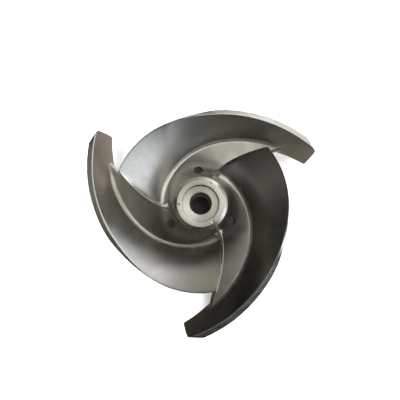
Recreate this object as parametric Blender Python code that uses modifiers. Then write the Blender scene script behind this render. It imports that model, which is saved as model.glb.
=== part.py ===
# Three-vane semi-open pump impeller: one stainless casting with machined faces.
# Rotation axis +Z, eye side up.  The part is built with z = 0 at the hub's front
# face and then moved along Z so that the origin is its centroid on the axis.
import bpy, bmesh
import numpy as np
from mathutils import Matrix
from math import pi, sin, cos, tan, exp, atan2, radians, degrees, sqrt, hypot

MM = 0.001
NAME = "water_pump_impeller"

# ---------------------------------------------------------------- driving dimensions, mm and degrees
OUTER_R = 131.0            # turned outside radius
VANES = 3
SIDES = 72                 # facets on every turned face

HUB_FACE_R = 23.6          # machined flat on the hub's front
HUB_CHAMFER = 3.9          # chamfer at its edge, as seen along the axis
CHAMFER_DEPTH = 2.9
BARREL_R = 28.6            # cast hub where it starts to flare into the plate
BARREL_Z = -10.4
PLATE_Z = -32.8            # front of the back plate, out at the rim
FLARE_LEN = 11.7           # how fast the hub's flare dies away
BACK_Z = -42.0             # machined back of the plate and of the vane tips
BOSS_R = 31.0              # seat boss on the back
BOSS_Z = -50.0
BOSS_CHAMFER = 1.5

BORE_R = 11.1
RECESS_R = 18.4            # shallow recess round the bore
RECESS_DEPTH = 4.0
BORE_CHAMFER = 0.7
HOLE_R = 5.0               # balance holes
HOLE_PITCH_R = 37.6
HOLE_ANGLE = 93.4
MARK_R = 22.3              # centre-punch marks near the edge of the hub face
MARK_ANGLE = 63.9
MARK_SIZE = 1.0

EYE_R = 83.08              # leading edge, outer corner
EYE_Z = 15.19
WEAR_STEEP = 3.07          # fall of the front profile below the eye, mm per mm of radius
WEAR_KNEE_R = 88.2         # where the steep and the flat part of the front profile would meet
WEAR_FLAT = 0.09           # fall of the flat part
WEAR_ARC = 10.4            # radius between the two

FRONT_START = 39.3         # angles of the front edge
FRONT_WRAP = 135.2
FRONT_BLADE = ((0.0, 2.2), (45.0, 2.2), (62.0, 7.9), (106.0, 20.2), (135.2, 24.5), (150.0, 26.0))
ROOT_START = 66.0          # angles of the root on the plate
EDGE_ROOT_R = 35.5         # foot of the leading edge on the hub's flare
ROOT_R0 = 38.2
ROOT_WRAP = 162.0
ROOT_BLADE = ((0.0, 6.0), (40.0, 15.5), (80.0, 25.0), (110.0, 29.0), (162.0, 35.0), (180.0, 36.0))
EDGE_BOW = 1.5             # bow of the leading edge, degrees
THICK_EDGE = 1.3           # vane thickness at the leading edge, front side
THICK_TIP = 5.9            # and at the tip
THICK_FULL = 0.85          # share of the wrap where it is reached
THICK_ROOT = 1.4           # draft: what the root is thicker by
ROOT_FILLET = 5.0

SCALLOP_R = 80.0           # plate between the vanes
SCALLOP_EDGE_R = 110.0     # where the plate's edge meets the vane
SCALLOP_EDGE_ANGLE = -84.5
SCALLOP_CORNER = 14.0
TIP_LEAN = 1.9             # how far the free end's lower edge leans out on the concave side
TIP_CHAMFER = 1.2          # broken corners of the outside diameter

# ---------------------------------------------------------------- clean scene
for o in list(bpy.data.objects):
    bpy.data.objects.remove(o, do_unlink=True)
for c in list(bpy.data.collections):
    bpy.data.collections.remove(c)
parts = bpy.data.collections.new(NAME)
guides = bpy.data.collections.new("cutters")
bpy.context.scene.collection.children.link(parts)
bpy.context.scene.collection.children.link(guides)


# ---------------------------------------------------------------- profiles
def plate_z(r):
    """Front surface of hub flare and back plate at radius r."""
    return PLATE_Z + (BARREL_Z - PLATE_Z) * exp(-(max(r, BARREL_R) - BARREL_R) / FLARE_LEN)


def wear_profile(count=7):
    """Machined front profile of the vanes: steep line, arc, nearly flat line."""
    knee_z = EYE_Z - WEAR_STEEP * (WEAR_KNEE_R - EYE_R)
    a1 = atan2(-WEAR_STEEP, 1.0)
    a2 = atan2(-WEAR_FLAT, 1.0)
    t = WEAR_ARC * tan((a2 - a1) / 2)
    start = (WEAR_KNEE_R - t * cos(a1), knee_z - t * sin(a1))
    centre = (start[0] - WEAR_ARC * sin(a1), start[1] + WEAR_ARC * cos(a1))
    pts = [(EYE_R - 2.0, EYE_Z + 2.0 * WEAR_STEEP)]
    for i in range(count + 1):
        a = a1 + (a2 - a1) * i / count
        pts.append((centre[0] + WEAR_ARC * sin(a), centre[1] - WEAR_ARC * cos(a)))
    pts.append((OUTER_R, knee_z - WEAR_FLAT * (OUTER_R - WEAR_KNEE_R)))
    return pts


def wear_z(r):
    p = wear_profile(24)
    r0 = [q[0] for q in p]
    z0 = [q[1] for q in p]
    if r < r0[0]:
        return z0[0] - WEAR_STEEP * (r - r0[0])
    if r > r0[-1]:
        return z0[-1] - WEAR_FLAT * (r - r0[-1])
    return float(np.interp(r, r0, z0))


def spiral(r0, stations):
    """Radius against wrap angle for a blade-angle law given at a few stations."""
    end = stations[-1][0]
    n = 400
    f = np.linspace(0.0, end, n + 1)
    slope = np.tan(np.radians(np.interp(f, [s[0] for s in stations], [s[1] for s in stations])))
    step = np.radians(end / n)
    grow = np.concatenate([[0.0], np.cumsum((slope[1:] + slope[:-1]) / 2 * step)])
    return f, r0 * np.exp(grow)


FRONT_TABLE = spiral(EYE_R, FRONT_BLADE)
ROOT_TABLE = spiral(ROOT_R0, ROOT_BLADE)


# ---------------------------------------------------------------- vane surface
def generator(t):
    """Root point and front point (r, angle, z) of the vane's concave face at t."""
    fa = max(0.0, FRONT_WRAP * t)
    fr = float(np.interp(fa, *FRONT_TABLE))
    ra = max(0.0, ROOT_WRAP * t)
    rr = float(np.interp(ra, *ROOT_TABLE))
    ease = exp(-t / 0.02)
    rr = rr + (EDGE_ROOT_R - rr) * ease
    root = (rr, ROOT_START - ROOT_WRAP * t, plate_z(rr))
    front = (fr, FRONT_START - FRONT_WRAP * t, wear_z(fr))
    return root, front


def surface(t, s):
    a, b = generator(t)
    r = a[0] + (b[0] - a[0]) * s
    ang = radians(a[1] + (b[1] - a[1]) * s - EDGE_BOW * 4.0 * s * (1.0 - s) * exp(-max(t, 0.0) / 0.08))
    z = a[2] + (b[2] - a[2]) * s
    return np.array([r * cos(ang), r * sin(ang), z])


def normal(t, s):
    """Unit normal of the concave face, pointing through the vane."""
    d = 1e-3
    u = surface(t + d, s) - surface(t, s)
    v = surface(t, s + d) - surface(t, s - d)
    n = np.cross(u, v)
    n = n / np.linalg.norm(n)
    p = surface(t, s)
    if n[0] * p[0] + n[1] * p[1] < 0:
        n = -n
    return n


def thickness(t, s=1.0):
    t = max(t, 0.0)
    front = THICK_EDGE + (THICK_TIP - THICK_EDGE) * min(1.0, t / THICK_FULL) ** 1.1
    return front + THICK_ROOT * min(1.0, t / 0.15) * min(1.0, max(0.0, 1.0 - s))


def fillet(h):
    if h >= ROOT_FILLET:
        return 0.0
    k = 1.0 - max(h, 0.0) / ROOT_FILLET
    return ROOT_FILLET * (1.0 - sqrt(max(0.0, 1.0 - k * k)))


def fade(r, full, none):
    """1 inside radius full, 0 outside radius none: the fillet ends with the plate."""
    k = min(1.0, max(0.0, (none - r) / (none - full)))
    return k * k * (3.0 - 2.0 * k)


def lean(h):
    """Outward lean of the concave side beyond the plate, none at the front, most at the back."""
    return TIP_LEAN * min(1.0, max(0.0, 1.0 - (h + 9.0) / 36.0))


def section(t, heights, outs):
    """Closed section of the vane at t: concave side up, convex side down."""
    a, b = generator(t)
    span = b[2] - a[2]
    ss = [h / span for h in heights] + list(outs)
    up, down = [], []
    for s in ss:
        p = surface(t, s)
        n = normal(t, s)
        r = hypot(p[0], p[1])
        h = p[2] - plate_z(r)
        e = fillet(h) * min(1.0, t / 0.04 + 0.15)
        with_plate = fade(a[0], SCALLOP_EDGE_R - 6.0, SCALLOP_EDGE_R + 3.0)
        inner = e * with_plate + lean(h) * (1.0 - with_plate)
        outer = e * fade(a[0], SCALLOP_R - 9.0, SCALLOP_R - 1.0)
        up.append(p - n * inner)
        down.append(p + n * (thickness(t, s) + outer))
    return up + down[::-1]


def mesh_object(name, verts, faces, coll):
    me = bpy.data.meshes.new(name)
    me.from_pydata([tuple(float(c) * MM for c in v) for v in verts], [], faces)
    me.validate()
    o = bpy.data.objects.new(name, me)
    coll.objects.link(o)
    bm = bmesh.new()
    bm.from_mesh(me)
    bmesh.ops.recalc_face_normals(bm, faces=bm.faces)
    bm.to_mesh(me)
    bm.free()
    return o


def cutter(o):
    o.hide_render = True
    o.display_type = "WIRE"
    return o


def vane(index):
    """Loft through the sections from leading edge to just past the tip."""
    stations = [0.0, 0.012, 0.03, 0.055, 0.085, 0.12] + [0.16 + (1.06 - 0.16) * i / 16 for i in range(17)]
    heights = (-12.0, -1.0, 0.8, 2.2, 5.0)
    outs = (0.4, 0.6, 0.8, 1.0, 1.14)
    verts, faces = [], []
    turn = 2 * pi * index / VANES
    c, s = cos(turn), sin(turn)
    count = 0
    for t in stations:
        ring = section(t, heights, outs)
        count = len(ring)
        for p in ring:
            verts.append((p[0] * c - p[1] * s, p[0] * s + p[1] * c, p[2]))
    for i in range(len(stations) - 1):
        for j in range(count):
            k = (j + 1) % count
            faces.append((i * count + j, i * count + k, (i + 1) * count + k, (i + 1) * count + j))
    last = (len(stations) - 1) * count
    half = count // 2
    for base in (0, last):
        for j in range(half - 1):
            faces.append((base + j, base + j + 1, base + count - 2 - j, base + count - 1 - j))
    return cutter(mesh_object("vane_blank_%d" % index, verts, faces, guides))


# ---------------------------------------------------------------- turned bodies
def turned(name, profile, steps, coll, closed):
    """Screw a profile about Z.  An open profile starts and ends on the axis."""
    me = bpy.data.meshes.new(name)
    n = len(profile)
    edges = [(i, i + 1) for i in range(n - 1)]
    if closed:
        edges.append((n - 1, 0))
    me.from_pydata([(r * MM, 0.0, z * MM) for r, z in profile], edges, [])
    o = bpy.data.objects.new(name, me)
    coll.objects.link(o)
    m = o.modifiers.new("turn", "SCREW")
    m.axis = "Z"
    m.angle = 2 * pi
    m.steps = steps
    m.render_steps = steps
    m.use_merge_vertices = True
    m.merge_threshold = 0.00001
    m.use_smooth_shade = False
    apply_modifiers(o)
    bm = bmesh.new()
    bm.from_mesh(o.data)
    bmesh.ops.remove_doubles(bm, verts=bm.verts, dist=0.000001)
    bmesh.ops.recalc_face_normals(bm, faces=bm.faces)
    bm.to_mesh(o.data)
    bm.free()
    return o


def apply_modifiers(o):
    dg = bpy.context.evaluated_depsgraph_get()
    dg.update()
    ev = o.evaluated_get(dg)
    me = bpy.data.meshes.new_from_object(ev, depsgraph=dg)
    o.modifiers.clear()
    o.data = me


def boolean(target, tool, operation):
    m = target.modifiers.new(operation.lower(), "BOOLEAN")
    m.operation = operation
    m.object = tool
    m.solver = "EXACT"
    apply_modifiers(target)


def flare(count=9):
    """Hub flare and plate front, closer points where it curves."""
    reach = OUTER_R - 14.0
    return [(BARREL_R + (reach - BARREL_R) * (i / count) ** 2.2,
             plate_z(BARREL_R + (reach - BARREL_R) * (i / count) ** 2.2)) for i in range(count + 1)]


blank_profile = ([(BORE_R - 4.0, 2.0), (BARREL_R - 1.0, 2.0), (BARREL_R - 0.7, -4.5)]
                 + flare()
                 + [(OUTER_R - 14.0, BACK_Z - 3.0), (BOSS_R + 2.0, BACK_Z - 3.0),
                    (BOSS_R + 2.0, BOSS_Z - 2.0), (BORE_R - 4.0, BOSS_Z - 2.0)])
body = turned("impeller_casting", blank_profile, SIDES, parts, True)


# ---------------------------------------------------------------- scallops between the vanes
def root_at(radius, share):
    """Point of the root curve at a radius, moved a share of the thickness through the vane."""
    lo, hi = 0.0, 1.08
    for _ in range(50):
        mid = (lo + hi) / 2
        if generator(mid)[0][0] < radius:
            lo = mid
        else:
            hi = mid
    t = (lo + hi) / 2
    p = surface(t, 0.0) + normal(t, 0.0) * thickness(t, 0.0) * share
    return float(p[0]), float(p[1])


def scallop(index):
    """Prism that removes the plate from one vane's convex side to the next vane's root end."""
    a0 = radians(SCALLOP_EDGE_ANGLE)
    slant = radians(1.4)
    pts = []
    # from outside, in along the nearly radial edge, round the corner, along the inner circle
    corner = SCALLOP_CORNER / SCALLOP_R
    for r in (OUTER_R + 12.0, SCALLOP_EDGE_R + 2.0, SCALLOP_EDGE_R + 0.3, SCALLOP_EDGE_R - 1.3,
              SCALLOP_EDGE_R - 3.0, SCALLOP_R + SCALLOP_CORNER):
        a = a0 + slant * (SCALLOP_EDGE_R - r) / 10.0
        round_in = max(0.0, min(r, SCALLOP_EDGE_R + 2.0) - (SCALLOP_EDGE_R - 3.0))
        a -= radians(0.03) * round_in ** 2
        pts.append((r * cos(a), r * sin(a)))
    a_in = a0 + slant * (SCALLOP_EDGE_R - SCALLOP_R) / 10.0
    for i in range(1, 7):
        q = pi / 2 * i / 6
        r = SCALLOP_R + SCALLOP_CORNER * (1 - sin(q))
        a = a_in - corner * (1 - cos(q))
        pts.append((r * cos(a), r * sin(a)))
    meet = root_at(SCALLOP_R, 0.5)
    a_meet = atan2(meet[1], meet[0]) - 2 * pi / VANES
    while a_meet > a_in:
        a_meet -= 2 * pi
    start = a_in - corner
    n = 16
    for i in range(1, n + 1):
        a = start + (a_meet - start) * i / n
        pts.append((SCALLOP_R * cos(a), SCALLOP_R * sin(a)))
    # out along the middle of the next vane
    turn = -2 * pi / VANES
    for i in range(1, 13):
        r = SCALLOP_R + (OUTER_R - 2.0 - SCALLOP_R) * i / 12
        x, y = root_at(r, 0.5)
        pts.append((x * cos(turn) - y * sin(turn), x * sin(turn) + y * cos(turn)))
    a_end = atan2(pts[-1][1], pts[-1][0])
    while a_end > a0:
        a_end -= 2 * pi
    for i in range(0, 9):
        a = a_end + (a0 - radians(4.5) - a_end) * i / 8
        pts.append(((OUTER_R + 12.0) * cos(a), (OUTER_R + 12.0) * sin(a)))
    g = 2 * pi * index / VANES
    n = len(pts)
    verts = [(x * cos(g) - y * sin(g), x * sin(g) + y * cos(g), z) for z in (BACK_Z - 8.0, 8.0) for x, y in pts]
    faces = [tuple(range(n - 1, -1, -1)), tuple(range(n, 2 * n))]
    faces += [(i, (i + 1) % n, n + (i + 1) % n, n + i) for i in range(n)]
    return cutter(mesh_object("scallop_%d" % index, verts, faces, guides))


for i in range(VANES):
    boolean(body, scallop(i), "DIFFERENCE")
for i in range(VANES):
    boolean(body, vane(i), "UNION")

# ---------------------------------------------------------------- machining
wear = wear_profile()
wear[-1] = (OUTER_R - TIP_CHAMFER, wear[-1][1] + WEAR_FLAT * TIP_CHAMFER)
envelope_profile = ([(0.0, wear[0][1])] + wear
                    + [(OUTER_R, wear[-1][1] - TIP_CHAMFER), (OUTER_R, BACK_Z + TIP_CHAMFER),
                       (OUTER_R - TIP_CHAMFER, BACK_Z), (BOSS_R, BACK_Z), (BOSS_R, BOSS_Z + BOSS_CHAMFER),
                       (BOSS_R - BOSS_CHAMFER, BOSS_Z), (0.0, BOSS_Z)])
envelope = cutter(turned("turned_envelope", envelope_profile, SIDES, guides, False))
boolean(body, envelope, "INTERSECT")

hub_tool_profile = [(0.0, 12.0), (BARREL_R + 1.2, 12.0), (BARREL_R + 1.2, -CHAMFER_DEPTH - 0.4),
                    (HUB_FACE_R + HUB_CHAMFER, -CHAMFER_DEPTH), (HUB_FACE_R, 0.0), (RECESS_R, 0.0),
                    (RECESS_R, -RECESS_DEPTH), (BORE_R + BORE_CHAMFER, -RECESS_DEPTH),
                    (BORE_R, -RECESS_DEPTH - BORE_CHAMFER), (BORE_R, BOSS_Z + BORE_CHAMFER),
                    (BORE_R + BORE_CHAMFER, BOSS_Z), (BORE_R + BORE_CHAMFER, BOSS_Z - 6.0), (0.0, BOSS_Z - 6.0)]
hub_tool = cutter(turned("hub_tool", hub_tool_profile, SIDES, guides, False))
boolean(body, hub_tool, "DIFFERENCE")

for i in range(VANES):
    a = radians(HOLE_ANGLE) + 2 * pi * i / VANES
    drill = turned("drill_%d" % i, [(0.0, 4.0), (HOLE_R, 4.0), (HOLE_R, BOSS_Z - 6.0), (0.0, BOSS_Z - 6.0)],
                   36, guides, False)
    drill.data.transform(Matrix.Translation(
        (HOLE_PITCH_R * cos(a) * MM, HOLE_PITCH_R * sin(a) * MM, 0.0)))
    boolean(body, cutter(drill), "DIFFERENCE")

# centre-punch marks, one in line with each vane
for i in range(VANES):
    a = radians(MARK_ANGLE) + 2 * pi * i / VANES
    punch = turned("punch_%d" % i, [(0.0, 1.0), (MARK_SIZE * 2.0, 1.0), (0.0, -MARK_SIZE)], 12, guides, False)
    punch.data.transform(Matrix.Translation((MARK_R * cos(a) * MM, MARK_R * sin(a) * MM, 0.0)))
    boolean(body, cutter(punch), "DIFFERENCE")


# ---------------------------------------------------------------- centroid to the origin
def centroid_z(o):
    me = o.data
    me.calc_loop_triangles()
    v = np.array([p.co[:] for p in me.vertices])
    t = np.array([q.vertices[:] for q in me.loop_triangles])
    a, b, c = v[t[:, 0]], v[t[:, 1]], v[t[:, 2]]
    vol = np.einsum("ij,ij->i", a, np.cross(b, c)) / 6.0
    return float((vol * (a[:, 2] + b[:, 2] + c[:, 2]) / 4.0).sum() / vol.sum())


shift = centroid_z(body)
body.data.transform(Matrix.Translation((0.0, 0.0, -shift)))
for o in guides.objects:
    o.data.transform(Matrix.Translation((0.0, 0.0, -shift)))

# ---------------------------------------------------------------- clean, shade, material
bm = bmesh.new()
bm.from_mesh(body.data)
bmesh.ops.remove_doubles(bm, verts=bm.verts, dist=0.00002)
bmesh.ops.dissolve_degenerate(bm, edges=bm.edges, dist=0.00001)
bmesh.ops.recalc_face_normals(bm, faces=bm.faces)
bm.to_mesh(body.data)
bm.free()
mat = bpy.data.materials.new("cast_stainless")
mat.use_nodes = True
bsdf = mat.node_tree.nodes["Principled BSDF"]
bsdf.inputs["Base Color"].default_value = (0.55, 0.54, 0.51, 1.0)
bsdf.inputs["Metallic"].default_value = 1.0
bsdf.inputs["Roughness"].default_value = 0.38
body.data.materials.clear()
body.data.materials.append(mat)
body.data.shade_smooth()
body.data.set_sharp_from_angle(angle=radians(32.0))
print("centroid was at z = %.3f mm; triangles %d" % (shift / MM, sum(len(p.vertices) - 2 for p in body.data.polygons)))
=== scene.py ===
from math import pi, sin, cos, tan, exp, atan2, radians, sqrt
import bpy
import bmesh
import numpy as np
from mathutils import Matrix, Vector


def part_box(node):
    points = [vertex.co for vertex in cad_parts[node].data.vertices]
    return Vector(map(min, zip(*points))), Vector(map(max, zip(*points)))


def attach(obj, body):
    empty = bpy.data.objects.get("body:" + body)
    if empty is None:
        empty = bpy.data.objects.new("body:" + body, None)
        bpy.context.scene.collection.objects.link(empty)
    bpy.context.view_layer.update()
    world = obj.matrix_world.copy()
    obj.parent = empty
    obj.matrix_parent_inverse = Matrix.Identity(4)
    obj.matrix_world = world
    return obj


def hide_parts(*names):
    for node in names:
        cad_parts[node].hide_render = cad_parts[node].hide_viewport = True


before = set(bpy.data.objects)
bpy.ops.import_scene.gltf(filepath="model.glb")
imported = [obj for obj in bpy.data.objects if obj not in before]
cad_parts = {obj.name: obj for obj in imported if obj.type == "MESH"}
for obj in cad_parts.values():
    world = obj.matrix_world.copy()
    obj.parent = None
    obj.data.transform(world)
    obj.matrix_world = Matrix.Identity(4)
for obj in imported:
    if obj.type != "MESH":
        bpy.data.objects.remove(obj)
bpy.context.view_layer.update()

# Looks of a cast and machined three-vane pump impeller.  Lengths are in millimetres
# from the hub's front face until a mesh is made; +Z is the rotation axis, eye side up.
MM = 0.001
NODE = "impeller_casting"


# ------------------------------------------------------------------ dimensions of the part
OUTER_R = 131.0
VANES = 3
HUB_FACE_R, HUB_CHAMFER, CHAMFER_DEPTH = 23.6, 3.9, 2.9
BARREL_R, BARREL_Z = 28.6, -10.4
PLATE_Z, FLARE_LEN = -32.8, 11.7
BACK_Z, BOSS_R, BOSS_Z, BOSS_CHAMFER = -42.0, 31.0, -50.0, 1.5
BORE_R, BORE_CHAMFER, RECESS_R, RECESS_DEPTH = 11.1, 0.7, 18.4, 4.0
HOLE_R, HOLE_PITCH_R, HOLE_ANGLE = 5.0, 37.6, 93.4
MARK_R, MARK_ANGLE, MARK_SIZE = 22.3, 63.9, 1.15
EYE_R, EYE_Z = 83.08, 15.19
WEAR_STEEP, WEAR_KNEE_R, WEAR_FLAT, WEAR_ARC = 3.07, 88.2, 0.09, 10.4
FRONT_START, FRONT_WRAP = 39.3, 135.2
FRONT_BLADE = ((0.0, 2.2), (45.0, 2.2), (62.0, 7.9), (106.0, 20.2), (135.2, 24.5), (150.0, 26.0), (170.0, 26.0))
ROOT_START, ROOT_R0, ROOT_WRAP = 66.0, 38.2, 162.0
ROOT_BLADE = ((0.0, 6.0), (40.0, 15.5), (80.0, 25.0), (110.0, 29.0), (162.0, 35.0), (180.0, 36.0), (205.0, 36.0))
EDGE_ROOT_R = 35.5
EDGE_BOW = 1.5
THICK_EDGE, THICK_TIP, THICK_FULL, THICK_ROOT = 1.3, 5.9, 0.85, 1.4
ROOT_FILLET, FILLET_ALONG, UNDER_FILLET, FOOT_SINK = 8.6, 4.6, 4.0, 0.1
SCALLOP_R, SCALLOP_EDGE_R, SCALLOP_EDGE_ANGLE, SCALLOP_CORNER = 80.0, 110.0, -84.5, 14.0
TIP_LEAN = 1.9
TIP_ROUND = 2.0

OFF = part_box(NODE)[0].z / MM - BOSS_Z      # height of the hub's face above the origin


# ------------------------------------------------------------------ shared shapes
def plate_z(r):
    r = np.maximum(r, BARREL_R)
    return PLATE_Z + (BARREL_Z - PLATE_Z) * np.exp(-(r - BARREL_R) / FLARE_LEN)


def wear_table():
    knee_z = EYE_Z - WEAR_STEEP * (WEAR_KNEE_R - EYE_R)
    a1, a2 = atan2(-WEAR_STEEP, 1.0), atan2(-WEAR_FLAT, 1.0)
    t = WEAR_ARC * tan((a2 - a1) / 2)
    sx, sz = WEAR_KNEE_R - t * cos(a1), knee_z - t * sin(a1)
    cx, cz = sx - WEAR_ARC * sin(a1), sz + WEAR_ARC * cos(a1)
    rs, zs = [EYE_R - 20.0], [EYE_Z + 20.0 * WEAR_STEEP]
    for a in np.linspace(a1, a2, 48):
        rs.append(cx + WEAR_ARC * sin(a))
        zs.append(cz - WEAR_ARC * cos(a))
    rs.append(160.0)
    zs.append(knee_z - WEAR_FLAT * (160.0 - WEAR_KNEE_R))
    return np.array(rs), np.array(zs)


WEAR_RS, WEAR_ZS = wear_table()


def wear_z(r):
    return np.interp(r, WEAR_RS, WEAR_ZS)


def spiral(r0, stations):
    f = np.linspace(0.0, stations[-1][0], 1201)
    slope = np.tan(np.radians(np.interp(f, [s[0] for s in stations], [s[1] for s in stations])))
    step = np.radians(f[1] - f[0])
    grow = np.concatenate([[0.0], np.cumsum((slope[1:] + slope[:-1]) / 2 * step)])
    return f, r0 * np.exp(grow)


FRONT_TABLE = spiral(EYE_R, FRONT_BLADE)
ROOT_TABLE = spiral(ROOT_R0, ROOT_BLADE)


def generator(t):
    """Root and front ends (r, angle, z) of the straight generators of a vane's concave face."""
    t = np.asarray(t, float)
    fr = np.interp(np.maximum(FRONT_WRAP * t, 0.0), *FRONT_TABLE)
    rr = np.interp(np.maximum(ROOT_WRAP * t, 0.0), *ROOT_TABLE)
    ease = np.exp(-t / 0.02)
    rr = rr + (EDGE_ROOT_R - rr) * ease
    return (rr, ROOT_START - ROOT_WRAP * t, plate_z(rr)), (fr, FRONT_START - FRONT_WRAP * t, wear_z(fr))


def surface(t, s):
    a, b = generator(t)
    r = a[0] + (b[0] - a[0]) * s
    ang = np.radians(a[1] + (b[1] - a[1]) * s
                     - EDGE_BOW * 4.0 * s * (1.0 - s) * np.exp(-np.maximum(t, 0.0) / 0.08))
    z = a[2] + (b[2] - a[2]) * s
    return np.stack([r * np.cos(ang), r * np.sin(ang), z], -1)


def normal(t, s):
    d = 1e-3
    n = np.cross(surface(t + d, s) - surface(t, s), surface(t, s + d) - surface(t, s - d))
    n /= np.linalg.norm(n, axis=-1)[..., None]
    p = surface(t, s)
    flip = (n[..., 0] * p[..., 0] + n[..., 1] * p[..., 1]) < 0
    n[flip] *= -1
    return n


def thickness(t, s):
    t = np.maximum(t, 0.0)
    front = THICK_EDGE + (THICK_TIP - THICK_EDGE) * np.minimum(1.0, t / THICK_FULL) ** 1.1
    return front + THICK_ROOT * np.minimum(1.0, t / 0.15) * np.clip(1.0 - s, 0.0, 1.0)


def fillet(h):
    k = 1.0 - np.clip(h, 0.0, UNDER_FILLET) / UNDER_FILLET
    return UNDER_FILLET * (1.0 - np.sqrt(np.maximum(0.0, 1.0 - k * k)))


def plate_normal(p):
    r = np.maximum(np.hypot(p[..., 0], p[..., 1]), BARREL_R)
    slope = -(BARREL_Z - PLATE_Z) / FLARE_LEN * np.exp(-(r - BARREL_R) / FLARE_LEN)
    n = np.stack([-slope * p[..., 0] / r, -slope * p[..., 1] / r, np.ones_like(r)], -1)
    return n / np.linalg.norm(n, axis=-1)[..., None]


def fillet_radius(t):
    """Root fillet on the concave side: wide at the leading edge, closer further along."""
    k = np.clip((t - 0.08) / 0.34, 0.0, 1.0)
    return ROOT_FILLET + (FILLET_ALONG - ROOT_FILLET) * k * k * (3.0 - 2.0 * k)


def blend(p, n, h, radius):
    """Offset of an arc tangent to the concave face and to the plate."""
    up = plate_normal(p)
    beta = np.arccos(np.clip(-(n * up).sum(-1), -0.2, 0.95))
    reach = radius * np.tan(beta / 2)
    d = (h + FOOT_SINK) * up[..., 2] / np.maximum(np.sin(beta), 0.35)
    x = np.clip((reach - d) / radius, 0.0, np.sin(np.minimum(beta, 1.5)))
    return radius * (1.0 - np.sqrt(1.0 - x * x))


def fillet_top(t):
    """Height over the plate at which the root fillet runs out on the concave face."""
    p, n = surface(t, np.zeros_like(t)), normal(t, np.full_like(t, 0.02))
    up = plate_normal(p)
    beta = np.arccos(np.clip(-(n * up).sum(-1), -0.2, 0.95))
    return fillet_radius(t) * np.tan(beta / 2) * np.sin(beta) / up[..., 2] - FOOT_SINK


def lean(h):
    return TIP_LEAN * np.clip(1.0 - (h + 9.0) / 36.0, 0.0, 1.0)


def fade(r, full, none):
    k = np.clip((none - r) / (none - full), 0.0, 1.0)
    return k * k * (3.0 - 2.0 * k)


# ------------------------------------------------------------------ mesh helpers
def make(name, verts, faces):
    me = bpy.data.meshes.new(name)
    v = np.array(verts, float)
    v[:, 2] += OFF
    me.from_pydata((v * MM).tolist(), [], faces)
    me.validate()
    bm = bmesh.new()
    bm.from_mesh(me)
    bmesh.ops.remove_doubles(bm, verts=bm.verts, dist=1e-6)
    bmesh.ops.recalc_face_normals(bm, faces=bm.faces)
    if bm.calc_volume(signed=True) < 0:
        bmesh.ops.reverse_faces(bm, faces=bm.faces)
    bm.to_mesh(me)
    bm.free()
    o = bpy.data.objects.new(name, me)
    bpy.context.scene.collection.objects.link(o)
    return o


def boolean(target, tool, operation, solver="MANIFOLD"):
    m = target.modifiers.new("b", "BOOLEAN")
    m.operation, m.object, m.solver = operation, tool, solver
    dg = bpy.context.evaluated_depsgraph_get()
    dg.update()
    me = bpy.data.meshes.new_from_object(target.evaluated_get(dg), depsgraph=dg)
    target.modifiers.clear()
    old = target.data
    target.data = me
    bpy.data.meshes.remove(old)
    mesh = tool.data
    bpy.data.objects.remove(tool, do_unlink=True)
    bpy.data.meshes.remove(mesh)


def turned(name, profile, steps):
    """Closed profile (r, z) swept round the axis; points on the axis are merged."""
    p = np.array(profile, float)
    n = len(p)
    a = np.linspace(0, 2 * pi, steps, endpoint=False)
    verts = np.stack([p[None, :, 0] * np.cos(a)[:, None], p[None, :, 0] * np.sin(a)[:, None],
                      np.broadcast_to(p[None, :, 1], (steps, n))], -1).reshape(-1, 3)
    faces = []
    for i in range(steps):
        k = (i + 1) % steps
        for j in range(n):
            l = (j + 1) % n
            if p[j, 0] < 1e-9 and p[l, 0] < 1e-9:
                continue
            if p[j, 0] < 1e-9:
                faces.append((i * n + j, i * n + l, k * n + l))
            elif p[l, 0] < 1e-9:
                faces.append((i * n + j, i * n + l, k * n + j))
            else:
                faces.append((i * n + j, i * n + l, k * n + l, k * n + j))
    return make(name, verts, faces)


def rounded(corners, segments=4):
    """Closed profile with each corner (r, z, radius) replaced by an arc."""
    out = []
    n = len(corners)
    for i in range(n):
        p0, p1, p2 = (np.array(corners[k % n][:2], float) for k in (i - 1, i, i + 1))
        rad = corners[i][2]
        if rad <= 0:
            out.append(tuple(p1))
            continue
        u, v = (p0 - p1) / np.linalg.norm(p0 - p1), (p2 - p1) / np.linalg.norm(p2 - p1)
        half = np.arccos(np.clip(u @ v, -1, 1)) / 2
        d = min(rad / np.tan(half), 0.45 * np.linalg.norm(p0 - p1), 0.45 * np.linalg.norm(p2 - p1))
        r_eff = d * np.tan(half)
        m = (u + v) / np.linalg.norm(u + v)
        c = p1 + m * (r_eff / np.sin(half))
        a = p1 + u * d - c
        b = p1 + v * d - c
        a0, a1 = atan2(a[1], a[0]), atan2(b[1], b[0])
        da = (a1 - a0 + pi) % (2 * pi) - pi
        for k in range(segments + 1):
            q = a0 + da * k / segments
            out.append((c[0] + r_eff * cos(q), c[1] + r_eff * sin(q)))
    return out


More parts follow.
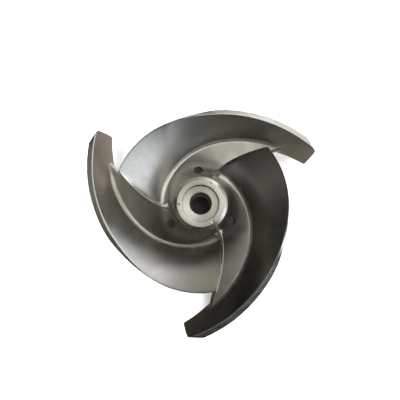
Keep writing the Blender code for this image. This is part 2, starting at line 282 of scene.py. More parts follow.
# ------------------------------------------------------------------ vanes
def vane_rings():
    """Sections of one vane from leading edge to the outside diameter, each a closed ring."""
    dense = np.concatenate([np.linspace(0.0, 0.1, 90, endpoint=False), np.linspace(0.1, 1.2, 560)])
    nt = len(dense)
    T = dense[:, None]
    # shares of the generator at wanted heights above the plate
    ss = np.linspace(-0.6, 1.25, 371)
    P = surface(T, ss[None, :])
    H = P[..., 2] - plate_z(np.hypot(P[..., 0], P[..., 1]))
    heights = np.array([-0.9, -0.68, -0.5, -0.32, -0.15, 0.02, 0.22, 0.42, 0.62, 0.81, 1.0, 1.3])
    root_r, front_r = generator(dense)[0][0], generator(dense)[1][0]
    tops = fillet_top(dense)
    low_z = plate_z(root_r) - 4.0
    w = fade(root_r, 66.0, 74.0)
    low_z = low_z * w + (BACK_Z + 0.02) * (1 - w)
    body_n = 26
    S = np.zeros((nt, 1 + len(heights) + body_n))
    V = np.zeros_like(S)
    front_len = np.linalg.norm(surface(dense, np.ones(nt)) - surface(dense, np.zeros(nt)), axis=-1)
    # convex end of the front strip
    lo, hi = np.full(nt, 0.6), np.full(nt, 1.25)
    for _ in range(40):
        mid = (lo + hi) / 2
        q = surface(dense, mid) + normal(dense, mid) * thickness(dense, mid)[:, None]
        g = q[:, 2] - wear_z(np.hypot(q[:, 0], q[:, 1]))
        hi = np.where(g > 0, mid, hi)
        lo = np.where(g > 0, lo, mid)
    s_convex = (lo + hi) / 2
    c_in = 0.35 + 0.65 * np.clip(dense / 0.5, 0, 1)       # rounding of the strip's inner edge
    c_out = 0.25 + 0.35 * np.clip(dense / 0.5, 0, 1)
    for i in range(nt):
        h, order = H[i], ss
        sh = np.interp(heights * tops[i], h, order)
        zlow = np.interp(low_z[i], P[i, :, 2], ss)
        if root_r[i] < 60.0:                              # the root stays clear of the bore
            zlow = max(zlow, (21.5 - root_r[i]) / (front_r[i] - root_r[i]))
        sh = np.maximum(sh, zlow + 0.004 * np.arange(1, len(sh) + 1))
        top_in = 1.0 - c_in[i] / front_len[i]
        top_out = s_convex[i] - c_out[i] / front_len[i]
        k = np.arange(1, body_n + 1) / body_n
        S[i] = np.concatenate([[zlow], sh, sh[-1] + (top_in - sh[-1]) * k])
        V[i] = np.concatenate([[zlow], sh, sh[-1] + (top_out - sh[-1]) * k])
    ends = np.clip(dense / 0.02 + 0.5, 0, 1)[:, None]
    a0 = root_r[:, None]

    def side(M, outside):
        p = surface(T, M)
        n = normal(T, M)
        h = p[..., 2] - plate_z(np.hypot(p[..., 0], p[..., 1]))
        if outside:
            e = fillet(h) * ends * fade(a0, SCALLOP_R - 9.0, SCALLOP_R - 1.0)
            return p + n * (thickness(T, M) + e)[..., None]
        e = blend(p, n, h, fillet_radius(T)) * ends
        with_plate = fade(a0, SCALLOP_EDGE_R - 9.0, SCALLOP_EDGE_R + 0.5)
        return p - n * (e * with_plate + lean(h) * (1.0 - with_plate))[..., None]

    inner = side(S, False)
    outer = side(V, True)
    fin = surface(dense, np.ones(nt))
    fout = surface(dense, s_convex) + normal(dense, s_convex) * thickness(dense, s_convex)[:, None]
    wide = np.linalg.norm(fout - fin, axis=-1)
    strip = []
    f_in, f_out = c_in / wide, 1.0 - c_out / wide
    for k in np.linspace(0, 1, 5):
        q = fin + (fout - fin) * (f_in + (f_out - f_in) * k)[:, None]
        q[:, 2] = wear_z(np.hypot(q[:, 0], q[:, 1]))
        strip.append(q)

    def round_edge(p_side, corner, p_strip):
        """Two points of a quarter round between the side and the strip."""
        out = []
        for k in (0.33, 0.67):
            a, b = (1 - k) ** 2, k ** 2
            out.append(p_side * a + corner * (2 * k * (1 - k)) + p_strip * b)
        return out

    cin = round_edge(inner[:, -1], fin, strip[0])
    cout = round_edge(strip[-1], fout, outer[:, -1])
    ring = np.concatenate([inner, np.stack(cin + strip + cout, 1), outer[:, ::-1]], 1)
    return dense, ring, inner.shape[1], len(cin + strip + cout)


def vane(index, table):
    dense, ring, n_side, n_top = table
    m = ring.shape[1]
    rad = np.hypot(ring[..., 0], ring[..., 1])
    t_end = np.zeros(m)
    for j in range(m):
        k = np.argmax(rad[300:, j] > OUTER_R + 3.0) + 300
        f = (OUTER_R + 3.0 - rad[k - 1, j]) / (rad[k, j] - rad[k - 1, j])
        t_end[j] = dense[k - 1] + f * (dense[k] - dense[k - 1])
    u = np.concatenate([np.linspace(0, 0.045, 9, endpoint=False), np.linspace(0.045, 0.985, 150), [1.0]])
    rows = np.zeros((len(u), m, 3))
    for j in range(m):
        for c in range(3):
            rows[:, j, c] = np.interp(u * t_end[j], dense, ring[:, j, c])
    # rounded leading edge: rings that close in ahead of the first section
    first, step = rows[0], rows[0] - rows[1]
    pair = first[::-1]
    mid, half = (first + pair) / 2, (first - pair) / 2
    step_dir = step / np.linalg.norm(step, axis=1)[:, None]
    ahead = (step_dir + step_dir[::-1])
    ahead /= np.linalg.norm(ahead, axis=1)[:, None]
    th = np.linalg.norm(half, axis=1)[:, None]
    nose = []
    for q in (75, 55, 35, 18):
        nose.append(mid + half * sin(radians(q)) + ahead * np.minimum(th, 2.2) * 1.1 * cos(radians(q)))
    rows = np.concatenate([np.array(nose[::-1]), rows])
    n = len(rows)
    verts = rows.reshape(-1, 3)
    faces = []
    for i in range(n - 1):
        for j in range(m):
            k = (j + 1) % m
            faces.append((i * m + j, i * m + k, (i + 1) * m + k, (i + 1) * m + j))
    half_m = m // 2
    for j in range(half_m - 1):
        faces.append((j, j + 1, m - 2 - j, m - 1 - j))
    if m % 2:
        faces.append((half_m - 1, half_m, m - half_m))
    # cap just past the outside diameter, following its curve
    base = (n - 1) * m
    cols = 5
    extra = []
    idx = np.zeros((half_m, cols + 2), int)
    for j in range(half_m):
        a, b = rows[-1, j], rows[-1, m - 1 - j]
        a1, b1 = atan2(a[1], a[0]), atan2(b[1], b[0])
        d = (b1 - a1 + pi) % (2 * pi) - pi
        idx[j, 0], idx[j, -1] = base + j, base + m - 1 - j
        for c in range(1, cols + 1):
            f = c / (cols + 1)
            q = a1 + d * f
            idx[j, c] = n * m + len(extra)
            extra.append(((OUTER_R + 3.0) * cos(q), (OUTER_R + 3.0) * sin(q), a[2] + (b[2] - a[2]) * f))
    for j in range(half_m - 1):
        for c in range(cols + 1):
            faces.append((idx[j, c], idx[j, c + 1], idx[j + 1, c + 1], idx[j + 1, c]))
    if m % 2:
        j = half_m - 1
        faces.append(tuple(idx[j]) + (base + half_m,))
    faces.append(tuple(idx[0]))
    verts = np.concatenate([verts, np.array(extra)])
    g = 2 * pi * index / VANES
    rot = np.array([[cos(g), -sin(g), 0], [sin(g), cos(g), 0], [0, 0, 1]])
    return make("vane_%d" % index, verts @ rot.T, faces)


# ------------------------------------------------------------------ hub and plate
def hub_and_plate():
    reach = OUTER_R - 14.0
    flare = [(BARREL_R + (reach - BARREL_R) * (i / 44) ** 1.9, 0) for i in range(45)]
    flare = [(r, float(plate_z(r)), 0) for r, _ in flare]
    corners = [(BORE_R, -RECESS_DEPTH, 0.55), (RECESS_R, -RECESS_DEPTH, 0.4), (RECESS_R, 0.0, 0.3),
               (HUB_FACE_R, 0.0, 0.35), (HUB_FACE_R + HUB_CHAMFER, -CHAMFER_DEPTH, 0.7), (BARREL_R - 0.5, -7.0, 1.5)]
    corners += flare
    corners += [(reach, BACK_Z, 0), (BOSS_R, BACK_Z, 2.0), (BOSS_R, BOSS_Z, 1.2),
                (BORE_R, BOSS_Z, 0.7)]
    return turned("hub_and_plate", rounded(corners), 288)


def root_at(radius, share):
    t = np.linspace(0, 1.08, 1500)
    r = generator(t)[0][0]
    tt = np.interp(radius, r, t)
    p = surface(tt, np.zeros_like(tt)) + normal(tt, np.zeros_like(tt)) * thickness(tt, 0.0)[..., None] * share
    return p[..., :2]


def scallop(index):
    """Cutter for the gap between two vanes; its wall flares so that the cast edge comes out rounded."""
    a0, slant = radians(SCALLOP_EDGE_ANGLE), radians(1.4)
    corner = SCALLOP_CORNER / SCALLOP_R
    bend = 0.5 * slant * SCALLOP_CORNER / 10.0           # eases the straight end into the corner
    line = []
    for r in np.concatenate([[OUTER_R + 12.0], np.linspace(SCALLOP_EDGE_R + 2.0, SCALLOP_R + SCALLOP_CORNER, 26)]):
        a = a0 + slant * (SCALLOP_EDGE_R - r) / 10.0
        a += bend * float(fade(r, SCALLOP_R + SCALLOP_CORNER, SCALLOP_EDGE_R - 3.0))
        k = max(0.0, min(r, SCALLOP_EDGE_R + 2.0) - (SCALLOP_EDGE_R - 3.0))
        a -= radians(0.03) * k ** 2
        line.append((r * cos(a), r * sin(a)))
    a_in = a0 + slant * (SCALLOP_EDGE_R - SCALLOP_R) / 10.0 - bend
    for i in range(1, 19):
        q = pi / 2 * i / 18
        r = SCALLOP_R + SCALLOP_CORNER * (1 - sin(q))
        a = a_in - corner * (1 - cos(q))
        line.append((r * cos(a), r * sin(a)))
    turn = -2 * pi / VANES
    meet = root_at(np.array([SCALLOP_R]), 0.5)[0]
    a_meet = atan2(meet[1], meet[0]) + turn
    while a_meet > a_in:
        a_meet -= 2 * pi
    for i in range(1, 61):
        a = a_in - corner + (a_meet - a_in + corner) * i / 60
        line.append((SCALLOP_R * cos(a), SCALLOP_R * sin(a)))
    edge_n = len(line)
    for x, y in root_at(np.linspace(SCALLOP_R, OUTER_R - 2.0, 25)[1:], 0.5):
        line.append((x * cos(turn) - y * sin(turn), x * sin(turn) + y * cos(turn)))
    a_end = atan2(line[-1][1], line[-1][0])
    while a_end > a0:
        a_end -= 2 * pi
    inner_n = len(line)
    for i in range(9):
        a = a_end + (a0 - radians(4.5) - a_end) * i / 8
        line.append(((OUTER_R + 12.0) * cos(a), (OUTER_R + 12.0) * sin(a)))
    p = np.array(line)
    n = len(p)
    tan_ = np.roll(p, -1, 0) - np.roll(p, 1, 0)
    tan_ /= np.linalg.norm(tan_, axis=1)[:, None]
    side = np.stack([tan_[:, 1], -tan_[:, 0]], 1)
    side[edge_n - 2:] = 0.0
    side[0] = side[1]
    rho, rho_b = 2.4, 1.2
    levels = [(8.0, rho), (0.03, rho)]
    for q in (12, 25, 40, 55, 70, 90):
        levels.append((-rho * (1 - cos(radians(q))), rho * (1 - sin(radians(q)))))
    rings = []
    for d, e in levels:
        xy = p + side * e
        z = plate_z(np.hypot(xy[:, 0], xy[:, 1])) + d if d <= 0.03 else np.full(n, d)
        rings.append(np.column_stack([xy, z]))
    for up, e in ((rho_b, 0.0), (rho_b * 0.3, rho_b * 0.29), (0.0, rho_b), (-6.0, rho_b)):
        rings.append(np.column_stack([p + side * e, np.full(n, BACK_Z + up)]))
    verts = np.concatenate(rings)
    faces = [tuple(range(n)), tuple(range((len(rings) - 1) * n, len(rings) * n))]
    for i in range(len(rings) - 1):
        for j in range(n):
            k = (j + 1) % n
            faces.append((i * n + j, i * n + k, (i + 1) * n + k, (i + 1) * n + j))
    g = 2 * pi * index / VANES
    rot = np.array([[cos(g), -sin(g), 0], [sin(g), cos(g), 0], [0, 0, 1]])
    return make("scallop_%d" % index, verts @ rot.T, faces)


def rim():
    """Turned envelope that brings the vane tips to size and breaks their corners."""
    top, rad = float(wear_z(OUTER_R)), TIP_ROUND
    out = [(0.0, 60.0), (OUTER_R - 6.0, 60.0), (OUTER_R - 6.0, top + 3.0), (OUTER_R - rad - 2.0, top + 0.7)]
    for q in range(0, 91, 15):
        out.append((OUTER_R - rad + rad * sin(radians(q)), top + 0.06 - rad * (1 - cos(radians(q)))))
    for q in range(90, -1, -15):
        out.append((OUTER_R - rad + rad * sin(radians(q)), BACK_Z - 0.04 + rad * (1 - cos(radians(q)))))
    out += [(OUTER_R - rad - 2.0, BACK_Z - 0.7), (OUTER_R - 6.0, BACK_Z - 3.0), (0.0, BACK_Z - 3.0)]
    return turned("rim", out, 360)


body = hub_and_plate()
for i in range(VANES):
    boolean(body, scallop(i), "DIFFERENCE")
table = vane_rings()
trim = [(0.0, 12.0), (BARREL_R + 1.2, 12.0), (BARREL_R + 1.2, -CHAMFER_DEPTH - 0.4), (BARREL_R - 2.5, -CHAMFER_DEPTH - 0.4),
        (0.0, -CHAMFER_DEPTH - 0.4)]
for i in range(VANES):
    blade = vane(i, table)
    boolean(blade, turned("trim", trim, 144), "DIFFERENCE")
    boolean(blade, rim(), "INTERSECT")
    boolean(body, blade, "UNION")
for i in range(VANES):
    a = radians(HOLE_ANGLE) + 2 * pi * i / VANES
    drill = turned("drill", [(0.0, 4.0), (HOLE_R, 4.0), (HOLE_R, BOSS_Z - 6.0), (0.0, BOSS_Z - 6.0)], 72)
    drill.data.transform(Matrix.Translation((HOLE_PITCH_R * cos(a) * MM, HOLE_PITCH_R * sin(a) * MM, 0.0)))
    boolean(body, drill, "DIFFERENCE")
    a = radians(MARK_ANGLE) + 2 * pi * i / VANES
    punch = turned("punch", [(0.0, 1.0), (MARK_SIZE * 2.4, 1.0), (0.0, -MARK_SIZE)], 24)
    punch.data.transform(Matrix.Translation((MARK_R * cos(a) * MM, MARK_R * sin(a) * MM, 0.0)))
    boolean(body, punch, "DIFFERENCE")
body.name = body.data.name = "impeller"

bm = bmesh.new()
bm.from_mesh(body.data)
bmesh.ops.remove_doubles(bm, verts=bm.verts, dist=5e-6)
bmesh.ops.dissolve_degenerate(bm, edges=bm.edges, dist=3e-6)
bmesh.ops.recalc_face_normals(bm, faces=bm.faces)
if bm.calc_volume(signed=True) < 0:
    bmesh.ops.reverse_faces(bm, faces=bm.faces)
open_edges = sum(1 for e in bm.edges if not e.is_manifold)
bm.to_mesh(body.data)
bm.free()
body.data.shade_smooth()
body.data.set_sharp_from_angle(angle=radians(34.0))
tris = sum(len(p.vertices) - 2 for p in body.data.polygons)
print("impeller triangles", tris, "open edges", open_edges, "off", OFF)

# ------------------------------------------------------------------ finishes by surface
me = body.data
co = np.zeros(len(me.polygons) * 3)
me.polygons.foreach_get("center", co)
co = co.reshape(-1, 3) / MM
co[:, 2] -= OFF
no = np.zeros(len(me.polygons) * 3)
me.polygons.foreach_get("normal", no)
no = no.reshape(-1, 3)
r = np.hypot(co[:, 0], co[:, 1])
z = co[:, 2]
CAST, TURNED, FRONT, WALL_SHADE, BACK, DRESSED_HIGHLIGHT = range(6)
slot = np.full(len(r), CAST)
slot[(r < 28.2) & (z > -CHAMFER_DEPTH - 0.6)] = TURNED
slot[(r > HUB_FACE_R + 0.2) & (r < 28.2) & (z > -CHAMFER_DEPTH - 0.6) & (z < -0.15)] = FRONT     # finer cut on the chamfer
slot[(r < RECESS_R + 0.3) & (z > -RECESS_DEPTH - 0.6)] = TURNED
# the recess wall, the bore and the hole walls take the near-black wall finish: painted shade in these recesses
slot[(np.abs(r - RECESS_R) < 0.2) & (np.abs(no[:, 2]) < 0.7) & (z > -RECESS_DEPTH)] = WALL_SHADE
slot[(np.abs(z - wear_z(r)) < 0.12) & (r > EYE_R - 3) & (no[:, 2] > 0.1)] = FRONT
slot[r > OUTER_R - 0.12] = FRONT
slot[z < BACK_Z + 0.1] = BACK
slot[(r < BORE_R + 0.2)] = WALL_SHADE
for i in range(VANES):
    a = radians(HOLE_ANGLE) + 2 * pi * i / VANES
    d = np.hypot(co[:, 0] - HOLE_PITCH_R * cos(a), co[:, 1] - HOLE_PITCH_R * sin(a))
    slot[(d < HOLE_R + 0.02) & (np.abs(no[:, 2]) < 0.3)] = WALL_SHADE


# the root fillets were dressed by hand, up to the line where they run out on the vane; their near-white colour is a
# painted highlight for the bright bands along the roots
tt = np.linspace(0.0, 1.0, 400)
h = z - plate_z(r)
top = np.interp(r, generator(tt)[0][0], fillet_top(tt))
slot[(slot == CAST) & (h > 0.04) & (h < top) & (r > BARREL_R + 2.0) & (r < SCALLOP_EDGE_R + 2.0) & (no[:, 2] > 0.0)] = DRESSED_HIGHLIGHT


# wear: 1 on the leading edges and on the rims of the front strips, fading over a few millimetres
vc = np.zeros(len(me.vertices) * 3)
me.vertices.foreach_get("co", vc)
vc = vc.reshape(-1, 3) / MM
vc[:, 2] -= OFF
vr = np.hypot(vc[:, 0], vc[:, 1])
edge_line = surface(np.zeros(90), np.linspace(0.02, 1.0, 90))
near_edge = np.full(len(vc), 99.0)
for i in range(VANES):
    g = 2 * pi * i / VANES
    line = edge_line @ np.array([[cos(g), -sin(g), 0], [sin(g), cos(g), 0], [0, 0, 1]]).T
    for q in line:
        near_edge = np.minimum(near_edge, np.linalg.norm(vc - q, axis=1))
below_front = np.where((vr > EYE_R - 4) & (vc[:, 2] > -22), wear_z(vr) - vc[:, 2], 99.0)
wear = np.maximum(np.exp(-(np.maximum(near_edge - 0.4, 0) / 1.3)), 0.8 * np.exp(-(np.maximum(below_front - 0.2, 0) / 0.8)))
wear = np.where(vr > OUTER_R - 0.3, np.maximum(wear, 0.3), wear)
# painted shade: darker and browner towards the plate and up the vane roots, fading with height over the plate
height = vc[:, 2] - plate_z(vr)
plate_and_root_shade = np.exp(-(np.clip(height, 0, 40) / 7.0)) * (vc[:, 2] > BACK_Z + 3) * (vr > BARREL_R - 2)
for name, value in (("wear", wear), ("plate_and_root_shade", plate_and_root_shade)):
    att = me.attributes.new(name, "FLOAT", "POINT")
    att.data.foreach_set("value", value.astype(np.float32))


class Nodes:
    """Short hand for building one material's node tree."""

    def __init__(self, name, colour, rough, metallic=1.0, aniso=0.0):
        self.m = bpy.data.materials.new(name)
        self.m.use_nodes = True
        self.t = self.m.node_tree
        self.b = self.t.nodes["Principled BSDF"]
        self.b.inputs["Base Color"].default_value = (*colour, 1)
        self.b.inputs["Metallic"].default_value = metallic
        self.b.inputs["Roughness"].default_value = rough
        if aniso:
            self.b.inputs["Anisotropic"].default_value = aniso
        self.place = self.t.nodes.new("ShaderNodeTexCoord").outputs["Object"]
        if aniso:                                         # grooves run round the axis, gloss spreads across them
            across = self.t.nodes.new("ShaderNodeVectorMath")
            across.operation = "MULTIPLY_ADD"
            self.t.links.new(self.place, across.inputs[0])
            across.inputs[1].default_value = (1.0, 1.0, 0.0)
            across.inputs[2].default_value = (0.0, 0.0, 0.003)
            self.t.links.new(across.outputs[0], self.b.inputs["Tangent"])

    def link(self, value, socket):
        if isinstance(value, bpy.types.NodeSocket):
            self.t.links.new(value, socket)
        else:
            socket.default_value = value

    def math(self, op, a, b=0.0, clamp=False):
        n = self.t.nodes.new("ShaderNodeMath")
        n.operation, n.use_clamp = op, clamp
        self.link(a, n.inputs[0])
        self.link(b, n.inputs[1])
        return n.outputs[0]

    def fit(self, x, a, b, c, d):
        n = self.t.nodes.new("ShaderNodeMapRange")
        for k, v in zip(("Value", "From Min", "From Max", "To Min", "To Max"), (x, a, b, c, d)):
            self.link(v, n.inputs[k])
        return n.outputs[0]

    def attr(self, name):
        n = self.t.nodes.new("ShaderNodeAttribute")
        n.attribute_name = name
        return n.outputs["Fac"]

    def noise(self, scale, detail=2.0, rough=0.5, where=None, distort=0.0):
        n = self.t.nodes.new("ShaderNodeTexNoise")
        self.link(where or self.place, n.inputs["Vector"])
        n.inputs["Scale"].default_value = scale
        n.inputs["Detail"].default_value = detail
        n.inputs["Roughness"].default_value = rough
        n.inputs["Distortion"].default_value = distort
        return n.outputs["Fac"]

    def rings(self, per_metre, detail=3.0):
        """Random concentric lines round the axis, as a lathe leaves them."""
        sep = self.t.nodes.new("ShaderNodeSeparateXYZ")
        self.link(self.place, sep.inputs[0])
        r2 = self.math("ADD", self.math("POWER", sep.outputs[0], 2.0), self.math("POWER", sep.outputs[1], 2.0))
        n = self.t.nodes.new("ShaderNodeTexNoise")
        n.noise_dimensions = "1D"
        self.link(self.math("SQRT", r2), n.inputs["W"])
        n.inputs["Scale"].default_value = per_metre
        n.inputs["Detail"].default_value = detail
        return n.outputs["Fac"]

    def stretch(self, x, y, z):
        n = self.t.nodes.new("ShaderNodeMapping")
        self.link(self.place, n.inputs["Vector"])
        n.inputs["Scale"].default_value = (x, y, z)
        return n.outputs[0]

    def specks(self, scale, size, share):
        """Small round pits, kept only where a broad noise is high."""
        n = self.t.nodes.new("ShaderNodeTexVoronoi")
        self.link(self.place, n.inputs["Vector"])
        n.inputs["Scale"].default_value = scale
        n.inputs["Randomness"].default_value = 1.0
        dot = self.fit(n.outputs["Distance"], size * 0.5, size, 1.0, 0.0)
        keep = self.fit(self.noise(24.0, 1.0), share, share + 0.05, 0.0, 1.0)
        return self.math("MULTIPLY", dot, keep)

    def mix(self, fac, a, b, kind="MIX"):
        n = self.t.nodes.new("ShaderNodeMix")
        n.data_type, n.blend_type = "RGBA", kind
        self.link(fac, n.inputs[0])
        self.link(a if isinstance(a, bpy.types.NodeSocket) else (*a, 1), n.inputs[6])
        self.link(b if isinstance(b, bpy.types.NodeSocket) else (*b, 1), n.inputs[7])
        return n.outputs[2]

    def bump(self, height, distance, strength=1.0, base=None):
        n = self.t.nodes.new("ShaderNodeBump")
        n.inputs["Distance"].default_value = distance
        n.inputs["Strength"].default_value = strength
        self.link(height, n.inputs["Height"])
        if base is not None:
            self.link(base, n.inputs["Normal"])
        return n.outputs[0]

    def finish(self, colour=None, rough=None, bump=None):
        for value, key in ((colour, "Base Color"), (rough, "Roughness"), (bump, "Normal")):
            if value is not None:
                self.link(value, self.b.inputs[key])
        return self.m


def cast_satin():
    n = Nodes("cast_satin", (0.5, 0.49, 0.47), 0.3)
    broad = n.fit(n.noise(16.0, 3.0, 0.55), 0.35, 0.65, 0.0, 1.0)
    fine = n.noise(420.0, 4.0, 0.6)
    grain = n.noise(2600.0, 2.0, 0.5)
    colour = n.mix(broad, (0.50, 0.495, 0.485), (0.57, 0.55, 0.52))
    colour = n.mix(n.fit(fine, 0.35, 0.7, 0.0, 0.22), colour, (0.42, 0.405, 0.38))
    # painted shade: browner and darker near the plate and along the vane roots, broken up by noise
    colour = n.mix(n.math("MULTIPLY", n.attr("plate_and_root_shade"), n.fit(n.noise(70.0, 3.0), 0.4, 0.7, 0.12, 0.5)),
                   colour, (0.36, 0.305, 0.245))
    pits = n.specks(260.0, 0.11, 0.6)
    colour = n.mix(n.math("MULTIPLY", pits, 0.5), colour, (0.15, 0.13, 0.11))
    colour = n.mix(n.math("MULTIPLY", n.attr("wear"), 0.7), colour, (0.72, 0.71, 0.69))
    rough = n.fit(n.noise(45.0, 3.0, 0.6), 0.3, 0.7, 0.27, 0.36)
    rough = n.math("ADD", rough, n.fit(fine, 0.3, 0.7, -0.02, 0.04))
    rough = n.math("SUBTRACT", rough, n.math("MULTIPLY", n.attr("wear"), 0.1))
    b = n.bump(n.noise(75.0, 2.0, 0.5), 0.00035, 0.35)
    b = n.bump(fine, 0.00008, 0.35, b)
    b = n.bump(grain, 0.00003, 0.35, b)
    b = n.bump(n.math("SUBTRACT", 1.0, pits), 0.0003, 0.6, b)
    return n.finish(colour, rough, b)


def turned_face():
    n = Nodes("turned_face", (0.7, 0.68, 0.64), 0.36, aniso=0.85)
    ring = n.rings(900.0, 4.0)
    wide = n.rings(260.0, 1.0)
    colour = n.mix(n.fit(wide, 0.3, 0.7, 0.0, 1.0), (0.95, 0.93, 0.89), (0.88, 0.85, 0.79))
    colour = n.mix(n.fit(n.noise(160.0, 4.0, 0.6), 0.5, 0.75, 0.0, 0.3), colour, (0.5, 0.45, 0.38))
    rough = n.fit(ring, 0.3, 0.7, 0.32, 0.44)
    b = n.bump(ring, 0.00002, 0.3)
    return n.finish(colour, rough, b)


def machined_front():
    n = Nodes("machined_front", (0.62, 0.61, 0.58), 0.27, aniso=0.5)
    ring = n.rings(500.0, 2.0)
    colour = n.mix(n.fit(n.noise(60.0, 4.0, 0.6), 0.35, 0.7, 0.0, 1.0), (0.62, 0.61, 0.585), (0.52, 0.505, 0.47))
    colour = n.mix(n.math("MULTIPLY", n.attr("wear"), 0.5), colour, (0.74, 0.73, 0.71))
    rough = n.math("ADD", n.fit(ring, 0.3, 0.7, 0.22, 0.32), n.fit(n.noise(90.0, 3.0), 0.4, 0.7, 0.0, 0.06))
    b = n.bump(ring, 0.00001, 0.15)
    return n.finish(colour, rough, b)


def dressed_fillet_highlight():
    # near-white base colour: a painted highlight along the root fillets; the rougher finish is their own
    n = Nodes("dressed_fillet_highlight", (0.85, 0.84, 0.81), 0.5)
    fine = n.noise(300.0, 4.0, 0.65)
    colour = n.mix(n.fit(n.noise(60.0, 3.0, 0.6), 0.35, 0.68, 0.0, 1.0), (0.95, 0.94, 0.91), (0.84, 0.82, 0.77))
    colour = n.mix(n.fit(fine, 0.5, 0.75, 0.0, 0.25), colour, (0.5, 0.47, 0.42))
    rough = n.fit(n.noise(90.0, 3.0, 0.6), 0.3, 0.7, 0.33, 0.43)
    b = n.bump(n.noise(900.0, 2.0, 0.6), 0.00006, 0.4)
    return n.finish(colour, rough, b)


def drilled_wall_painted_shade():
    # near-black brown base colour on the bore, hole and recess walls: painted shade in these recesses
    n = Nodes("drilled_wall_painted_shade", (0.09, 0.06, 0.045), 0.5, metallic=0.7)
    sep = n.stretch(120.0, 120.0, 1800.0)
    lines = n.noise(1.0, 3.0, 0.6, where=sep)
    colour = n.mix(n.fit(n.noise(220.0, 4.0, 0.65), 0.35, 0.65, 0.0, 1.0), (0.1, 0.07, 0.05), (0.05, 0.032, 0.022))
    rough = n.fit(lines, 0.3, 0.7, 0.42, 0.6)
    return n.finish(colour, rough, n.bump(lines, 0.00006, 0.6))


def machined_back():
    n = Nodes("machined_back", (0.6, 0.59, 0.57), 0.3, aniso=0.6)
    ring = n.rings(600.0, 4.0)
    colour = n.mix(n.fit(n.noise(40.0, 4.0, 0.6), 0.35, 0.7, 0.0, 1.0), (0.63, 0.62, 0.6), (0.5, 0.48, 0.44))
    rough = n.fit(ring, 0.3, 0.7, 0.25, 0.38)
    b = n.bump(ring, 0.00002, 0.3)
    return n.finish(colour, rough, b)


me.materials.clear()
for m in (cast_satin(), turned_face(), machined_front(), drilled_wall_painted_shade(), machined_back(), dressed_fillet_highlight()):
    me.materials.append(m)
print("finishes", [int((slot == k).sum()) for k in range(6)])
me.polygons.foreach_set("material_index", slot.astype(np.int32))
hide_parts(NODE)
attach(body, "root")

# ------------------------------------------------------------------ camera, as the photograph sees the part
FLOOR_LIGHT = 3.4
TILT_X, TILT_Y = radians(-4.956), radians(0.622)
UNIT = 1.3
DIST, SHIFT_X, SHIFT_Y, SCALE = 200.0 * UNIT, 0.4846 * UNIT, -2.4114 * UNIT, 1.30994
rx = Matrix.Rotation(TILT_X, 3, "X")
ry = Matrix.Rotation(TILT_Y, 3, "Y")
R = rx @ ry
eye = R.transposed() @ Vector((-SHIFT_X, -SHIFT_Y, DIST))
eye.z += OFF
cam = bpy.data.objects.new("camera", bpy.data.cameras.new("camera"))
bpy.context.scene.collection.objects.link(cam)
cam.matrix_world = Matrix.Translation(eye * MM) @ R.transposed().to_4x4()
cam.data.sensor_width = 36.0
cam.data.lens = 36.0 * SCALE * 200.0 / 400.0
cam.data.clip_start = 0.005
bpy.context.scene.camera = cam

# ------------------------------------------------------------------ floor and light
def prop(name, verts, faces, colour):
    """Stage piece that the camera sees but that bare metal doesn't mirror."""
    me_ = bpy.data.meshes.new(name)
    me_.from_pydata(verts, [], faces)
    o = bpy.data.objects.new(name, me_)
    scene.collection.objects.link(o)
    m = bpy.data.materials.new(name)
    m.use_nodes = True
    b_ = m.node_tree.nodes["Principled BSDF"]
    b_.inputs["Base Color"].default_value = (*colour, 1)
    b_.inputs["Roughness"].default_value = 1.0
    b_.inputs["Specular IOR Level"].default_value = 0.0
    me_.materials.append(m)
    o.visible_glossy = False
    return o


scene = bpy.context.scene
ground = (BOSS_Z + OFF) * MM - 0.0002
prop("floor", [(-4, -4, ground), (4, -4, ground), (4, 4, ground), (-4, 4, ground)], [(0, 1, 2, 3)],
     (0.8, 0.8, 0.8))
for i in range(4):                                        # broad soft lamps for the floor only
    lamp = bpy.data.lights.new("floor_lamp_%d" % i, "SUN")
    lamp.angle, lamp.energy = radians(34.0), FLOOR_LIGHT
    o = bpy.data.objects.new(lamp.name, lamp)
    o.rotation_euler = (radians(46.0), 0.0, radians(45.0 + 90.0 * i))
    o.visible_glossy = False
    scene.collection.objects.link(o)

scene.view_settings.view_transform = "Standard"
world = bpy.data.worlds.new("world")
scene.world = world
world.use_nodes = True
wt = world.node_tree
wt.nodes.clear()


def wnode(kind, **settings):
    n = wt.nodes.new(kind)
    for k, v in settings.items():
        setattr(n, k, v)
    return n


direction = wnode("ShaderNodeVectorMath", operation="NORMALIZE")
wt.links.new(wnode("ShaderNodeTexCoord").outputs["Generated"], direction.inputs[0])
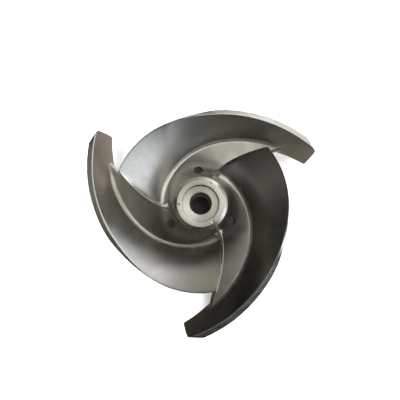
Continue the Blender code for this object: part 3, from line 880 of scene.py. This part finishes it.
# soft sources round the part: azimuth, elevation, half width (degrees), strength, tint
SOURCES = (
    (342, 6, 11, 2.25, (0.95, 1.01, 1.05)),    # broad cool light from the right
    (0, 6, 11, 2.0, (0.97, 1.0, 1.07)),
    (324, 6, 11, 1.0, (0.93, 1.0, 1.1)),
    (18, 6, 11, 1.15, (1.0, 1.0, 1.02)),
    (20, 24, 11, 1.05, (0.94, 1.02, 0.9)),
    (0, 24, 11, 0.35, (1.0, 1.0, 1.0)),
    (25, 42, 11, 1.25, (1.02, 1.0, 0.82)),
    (36, 6, 11, 0.2, (1.0, 1.0, 1.0)),
    (54, 6, 11, 1.85, (0.97, 1.01, 0.99)),     # main light, upper right
    (72, 6, 11, 1.05, (0.98, 1.0, 1.08)),
    (60, 24, 11, 0.9, (0.95, 1.02, 0.98)),
    (40, 24, 11, 0.35, (1.0, 1.0, 0.97)),
    (60, -12, 11, 1.45, (1.03, 1.0, 0.86)),
    (80, -12, 11, 0.9, (1.11, 0.99, 0.72)),
    (40, -12, 11, 0.3, (1.0, 1.0, 0.95)),
    (90, 6, 11, 0.55, (1.05, 0.98, 0.93)),     # warmer, from behind
    (108, 6, 11, 0.45, (1.0, 1.02, 0.82)),
    (126, 6, 11, 0.45, (1.07, 1.0, 0.76)),
    (72, 60, 11, 0.25, (1.0, 1.0, 0.95)),      # overhead
    (72, 76, 11, 0.9, (1.0, 1.01, 0.86)),
    (144, 76, 11, 0.2, (1.05, 1.0, 0.85)),
    (288, 6, 11, 0.2, (1.0, 1.0, 0.95)),       # faint, from the near side
    (234, 6, 11, 0.12, (1.05, 1.0, 0.85)),
    (60, -33, 11, 1.35, (1.05, 1.0, 0.85)),    # bounce from below
    (90, -33, 11, 0.95, (1.15, 0.99, 0.76)),
    (30, -33, 11, 0.3, (1.05, 1.0, 0.85)),
    (270, -33, 11, 0.25, (1.05, 1.0, 0.8)),
    (0, -55, 11, 0.65, (1.13, 0.98, 0.78)),
    (60, -55, 11, 1.25, (1.1, 0.99, 0.81)),
    (180, -55, 11, 0.3, (1.1, 0.99, 0.8)),
    (240, -55, 11, 0.4, (1.05, 0.99, 0.82)),
    (300, -55, 11, 0.85, (1.09, 1.0, 0.73)),
    (10, 75, 8, 1.8, (1.0, 1.0, 0.98)),        # ceiling
    (165, 47, 11, 0.25, (1.0, 1.0, 0.95)),     # faint, from the left
    (54, 55, 8, 1.6, (0.98, 1.0, 1.03)),
    (330, 20, 10, 0.35, (0.96, 1.0, 1.05)),
    (208, 21, 11, 0.2, (1.1, 0.98, 0.92)),
)
total = None
for azimuth, elevation, width, strength, tint in SOURCES:
    az_, el_ = radians(azimuth), radians(elevation)
    d = wnode("ShaderNodeVectorMath", operation="DOT_PRODUCT")
    wt.links.new(direction.outputs[0], d.inputs[0])
    d.inputs[1].default_value = (cos(el_) * cos(az_), cos(el_) * sin(az_), sin(el_))
    k = 0.693 / (1.0 - cos(radians(width)))
    e = wnode("ShaderNodeMath", operation="MULTIPLY_ADD")
    wt.links.new(d.outputs["Value"], e.inputs[0])
    e.inputs[1].default_value, e.inputs[2].default_value = k, -k
    x = wnode("ShaderNodeMath", operation="EXPONENT")
    wt.links.new(e.outputs[0], x.inputs[0])
    c = wnode("ShaderNodeVectorMath", operation="SCALE")
    c.inputs[0].default_value = [strength * v for v in tint]
    wt.links.new(x.outputs[0], c.inputs["Scale"])
    if total is None:
        total = c.outputs[0]
    else:
        add = wnode("ShaderNodeVectorMath", operation="ADD")
        wt.links.new(total, add.inputs[0])
        wt.links.new(c.outputs[0], add.inputs[1])
        total = add.outputs[0]
add = wnode("ShaderNodeVectorMath", operation="ADD")
wt.links.new(total, add.inputs[0])
add.inputs[1].default_value = (0.022, 0.02, 0.018)
lit = wnode("ShaderNodeBackground")
wt.links.new(add.outputs[0], lit.inputs["Color"])
path = wnode("ShaderNodeLightPath")                       # the floor has its own lamps, so it gets little of these
dim = wnode("ShaderNodeMath", operation="MULTIPLY_ADD", use_clamp=True)
wt.links.new(path.outputs["Diffuse Depth"], dim.inputs[0])
dim.inputs[1].default_value, dim.inputs[2].default_value = -0.6, 1.0
wt.links.new(dim.outputs[0], lit.inputs["Strength"])
plain_wall = wnode("ShaderNodeBackground")                # what the camera sees past the floor
plain_wall.inputs["Color"].default_value = (1.0, 1.0, 1.0, 1.0)
pick = wnode("ShaderNodeMixShader")
wt.links.new(path.outputs["Is Camera Ray"], pick.inputs[0])
wt.links.new(lit.outputs[0], pick.inputs[1])
wt.links.new(plain_wall.outputs[0], pick.inputs[2])
wt.links.new(pick.outputs[0], wnode("ShaderNodeOutputWorld").inputs[0])
